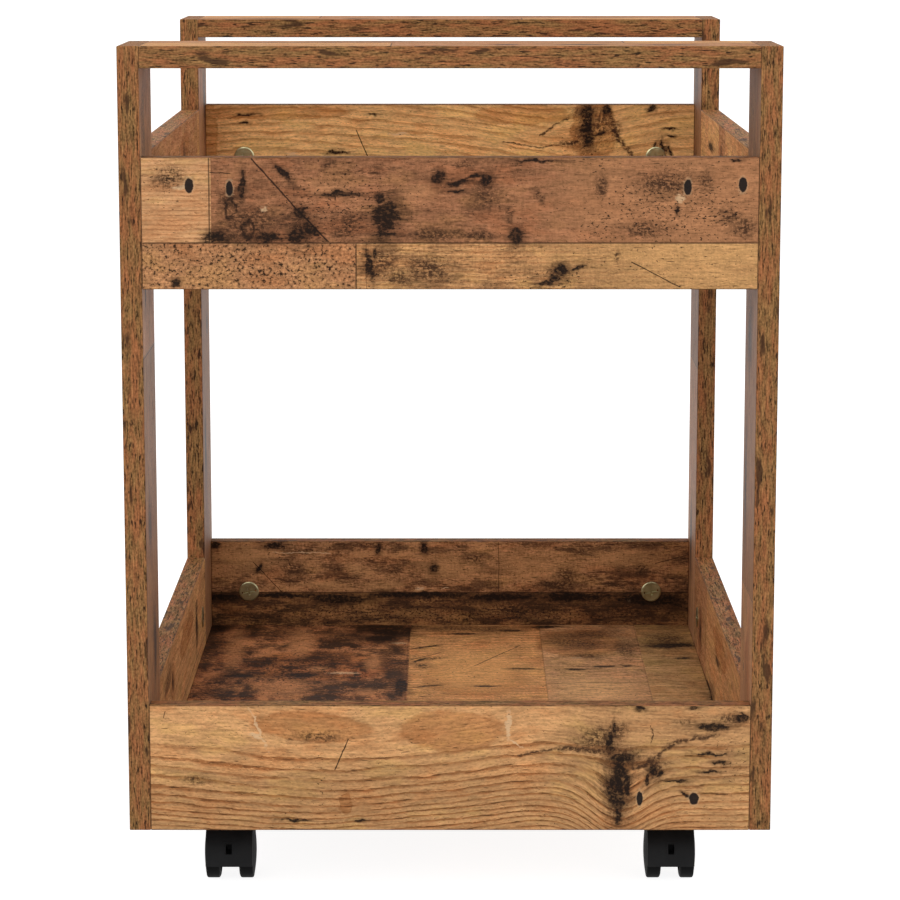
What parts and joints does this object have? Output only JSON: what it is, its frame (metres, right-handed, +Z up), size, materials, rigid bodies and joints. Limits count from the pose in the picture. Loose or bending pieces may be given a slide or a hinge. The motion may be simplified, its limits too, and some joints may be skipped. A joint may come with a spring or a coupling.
{
  "type": "office trolley",
  "caption": "Two-tray office trolley of flat boards with post frame, flat handle rails and swivelling twin-wheel casters.",
  "frame": {"origin": "on the ground, below the middle of the trolley", "axes": "+X to the right across the trolley, +Y from front to back, +Z up"},
  "size_m": [0.45, 0.6, 0.6],
  "materials": {
    "old_wood_board": "printed old-wood decor, satin",
    "cam_zinc": "polished die-cast",
    "bolt_steel": "zinc plated",
    "dowel_beech": "raw beech",
    "plate_steel": "zinc plated",
    "hood_plastic": "satin moulded",
    "wheel_plastic": "satin moulded"
  },
  "bodies": {
    "frame": {"front_left_post": "old_wood_board", "front_right_post": "old_wood_board", "back_left_post": "old_wood_board", "back_right_post": "old_wood_board", "front_handle_rail": "old_wood_board", "back_handle_rail": "old_wood_board", "upper_front_board": "old_wood_board", "upper_back_board": "old_wood_board", "upper_left_board": "old_wood_board", "upper_right_board": "old_wood_board", "upper_tray_floor": "old_wood_board", "lower_front_board": "old_wood_board", "lower_back_board": "old_wood_board", "lower_left_board": "old_wood_board", "lower_right_board": "old_wood_board", "lower_tray_floor": "old_wood_board", "rail_cam_locks": "cam_zinc", "rail_cam_bolts": "bolt_steel", "rail_dowels": "dowel_beech", "upper_cam_locks": "cam_zinc", "upper_cam_bolts": "bolt_steel", "upper_dowels": "dowel_beech", "lower_cam_locks": "cam_zinc", "lower_cam_bolts": "bolt_steel", "lower_dowels": "dowel_beech", "caster_plate_screws": "bolt_steel", "front_left_caster_plate": "plate_steel", "front_left_swivel_pin": "plate_steel", "front_right_caster_plate": "plate_steel", "front_right_swivel_pin": "plate_steel", "back_left_caster_plate": "plate_steel", "back_left_swivel_pin": "plate_steel", "back_right_caster_plate": "plate_steel", "back_right_swivel_pin": "plate_steel"},
    "front_left_caster": {"front_left_caster_hood": "hood_plastic", "front_left_axle": "plate_steel"},
    "front_left_wheel_left": {"front_left_wheel_left": "wheel_plastic"},
    "front_left_wheel_right": {"front_left_wheel_right": "wheel_plastic"},
    "front_right_caster": {"front_right_caster_hood": "hood_plastic", "front_right_axle": "plate_steel"},
    "front_right_wheel_left": {"front_right_wheel_left": "wheel_plastic"},
    "front_right_wheel_right": {"front_right_wheel_right": "wheel_plastic"},
    "back_left_caster": {"back_left_caster_hood": "hood_plastic", "back_left_axle": "plate_steel"},
    "back_left_wheel_left": {"back_left_wheel_left": "wheel_plastic"},
    "back_left_wheel_right": {"back_left_wheel_right": "wheel_plastic"},
    "back_right_caster": {"back_right_caster_hood": "hood_plastic", "back_right_axle": "plate_steel"},
    "back_right_wheel_left": {"back_right_wheel_left": "wheel_plastic"},
    "back_right_wheel_right": {"back_right_wheel_right": "wheel_plastic"}
  },
  "joints": [
    {"name": "front_left_swivel", "type": "hinge", "parent": "frame", "child": "front_left_caster", "pos_m": [-0.1585, -0.222, 0.035], "axis": [0, 0, 1], "continuous": true},
    {"name": "front_left_wheel_left_spin", "type": "hinge", "parent": "front_left_caster", "child": "front_left_wheel_left", "pos_m": [-0.1705, -0.237, 0.02], "axis": [1, 0, 0], "continuous": true},
    {"name": "front_left_wheel_right_spin", "type": "hinge", "parent": "front_left_caster", "child": "front_left_wheel_right", "pos_m": [-0.1465, -0.237, 0.02], "axis": [1, 0, 0], "continuous": true},
    {"name": "front_right_swivel", "type": "hinge", "parent": "frame", "child": "front_right_caster", "pos_m": [0.1585, -0.222, 0.035], "axis": [0, 0, 1], "continuous": true},
    {"name": "front_right_wheel_left_spin", "type": "hinge", "parent": "front_right_caster", "child": "front_right_wheel_left", "pos_m": [0.1465, -0.237, 0.02], "axis": [1, 0, 0], "continuous": true},
    {"name": "front_right_wheel_right_spin", "type": "hinge", "parent": "front_right_caster", "child": "front_right_wheel_right", "pos_m": [0.1705, -0.237, 0.02], "axis": [1, 0, 0], "continuous": true},
    {"name": "back_left_swivel", "type": "hinge", "parent": "frame", "child": "back_left_caster", "pos_m": [-0.1585, 0.222, 0.035], "axis": [0, 0, 1], "continuous": true},
    {"name": "back_left_wheel_left_spin", "type": "hinge", "parent": "back_left_caster", "child": "back_left_wheel_left", "pos_m": [-0.1705, 0.207, 0.02], "axis": [1, 0, 0], "continuous": true},
    {"name": "back_left_wheel_right_spin", "type": "hinge", "parent": "back_left_caster", "child": "back_left_wheel_right", "pos_m": [-0.1465, 0.207, 0.02], "axis": [1, 0, 0], "continuous": true},
    {"name": "back_right_swivel", "type": "hinge", "parent": "frame", "child": "back_right_caster", "pos_m": [0.1585, 0.222, 0.035], "axis": [0, 0, 1], "continuous": true},
    {"name": "back_right_wheel_left_spin", "type": "hinge", "parent": "back_right_caster", "child": "back_right_wheel_left", "pos_m": [0.1465, 0.207, 0.02], "axis": [1, 0, 0], "continuous": true},
    {"name": "back_right_wheel_right_spin", "type": "hinge", "parent": "back_right_caster", "child": "back_right_wheel_right", "pos_m": [0.1705, 0.207, 0.02], "axis": [1, 0, 0], "continuous": true}
  ]
}
